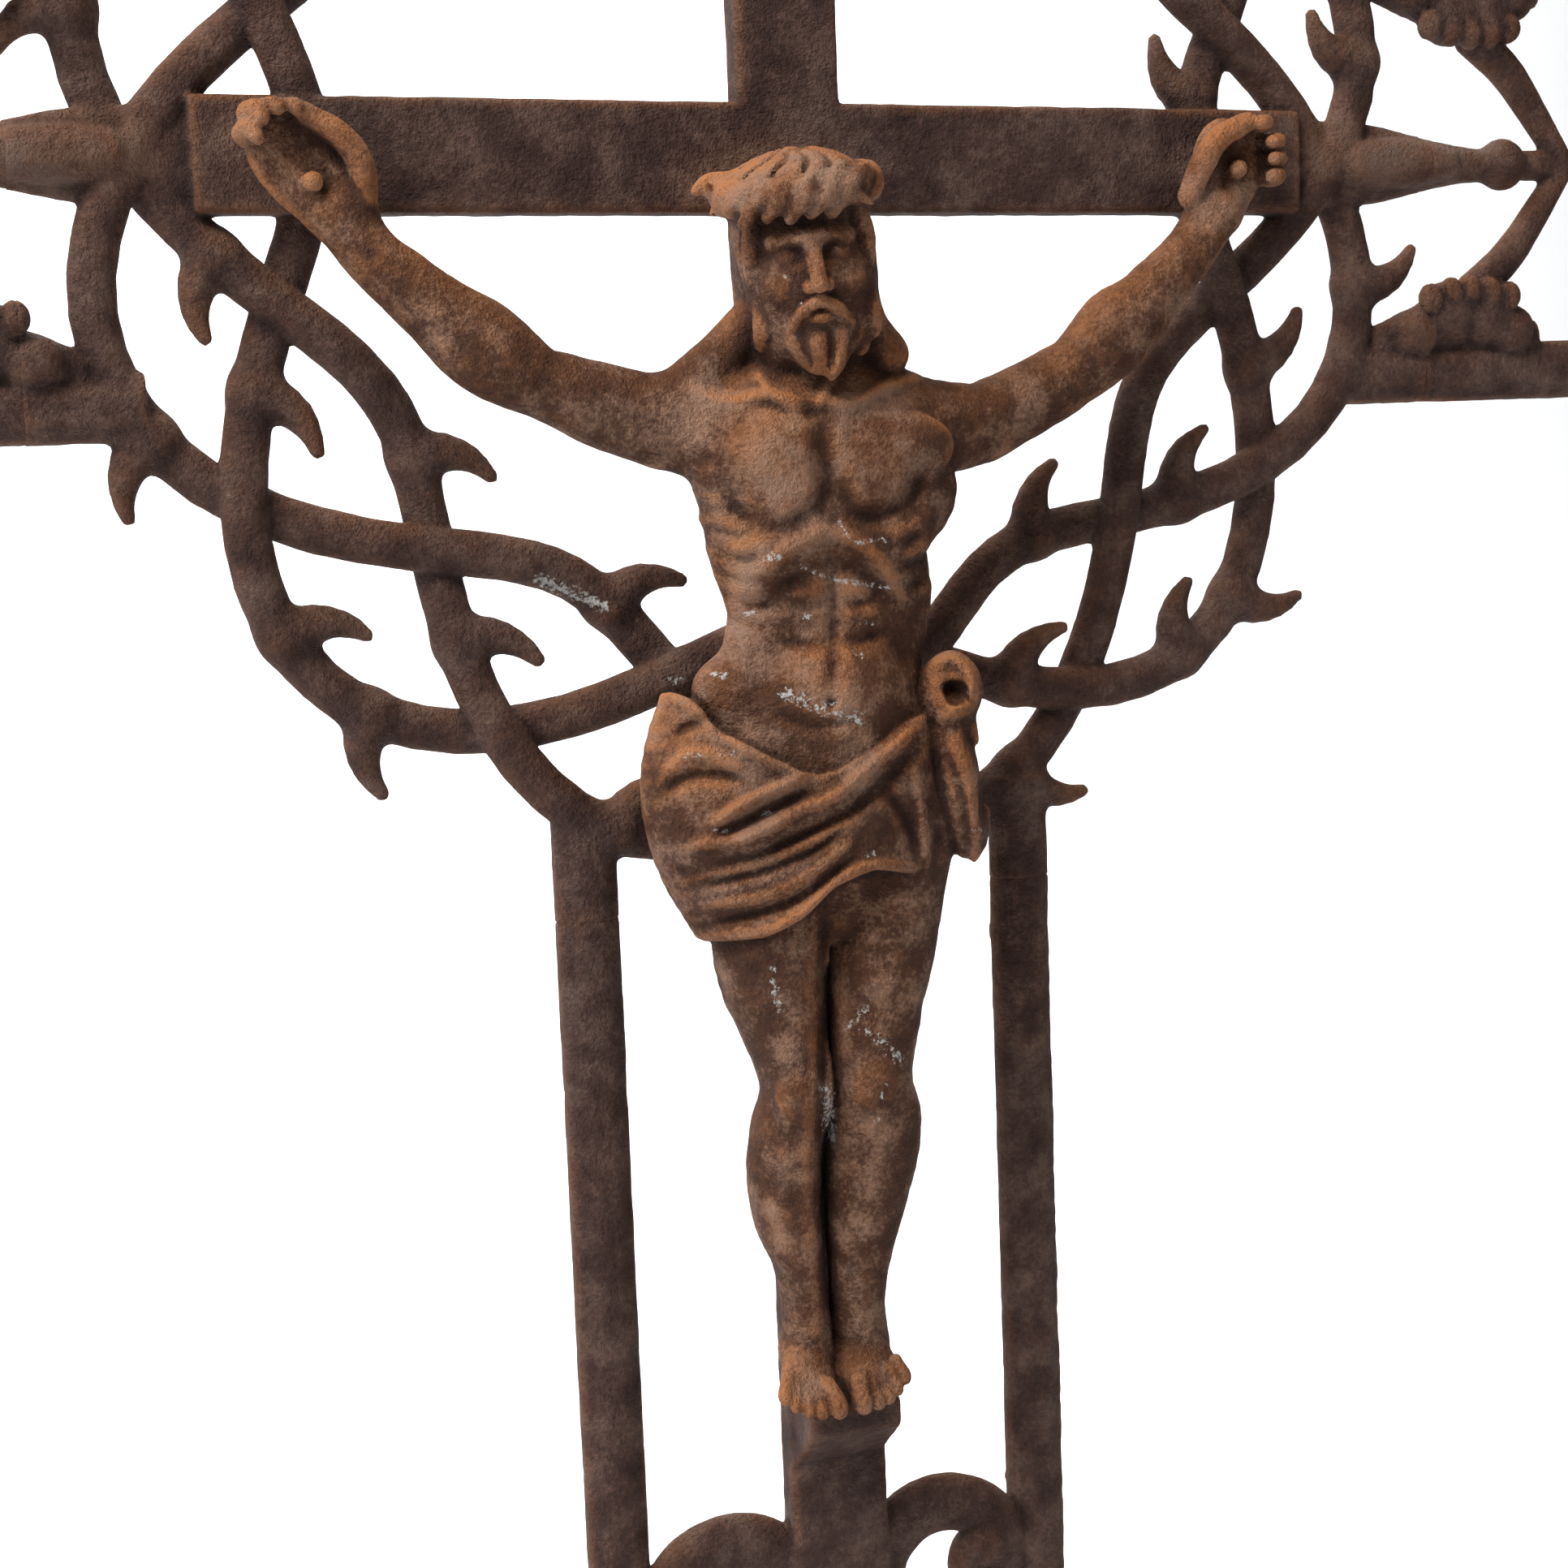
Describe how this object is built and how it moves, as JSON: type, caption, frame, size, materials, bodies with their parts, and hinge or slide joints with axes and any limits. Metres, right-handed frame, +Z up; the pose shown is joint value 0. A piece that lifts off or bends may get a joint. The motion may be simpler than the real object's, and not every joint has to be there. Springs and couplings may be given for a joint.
{
  "type": "cast iron crucifix",
  "caption": "Openwork cast-iron grave cross: inner Latin cross in a twin-rail frame, braided crown of thorns round the crossing, and a crucified figure on its front.",
  "frame": {"origin": "middle of the foot's flat underside, where the cross meets the ground", "axes": "+Z up the shaft, -Y the side that the figure faces, +X to the viewer's right"},
  "size_m": [0.868, 0.112, 1.384],
  "materials": {
    "cross_iron": "rusted, grainy as cast",
    "corpus_iron": "rusted, grainy as cast, with remains of pale paint"
  },
  "bodies": {
    "root": {"cross": "cross_iron", "corpus": "corpus_iron"}
  },
  "joints": []
}
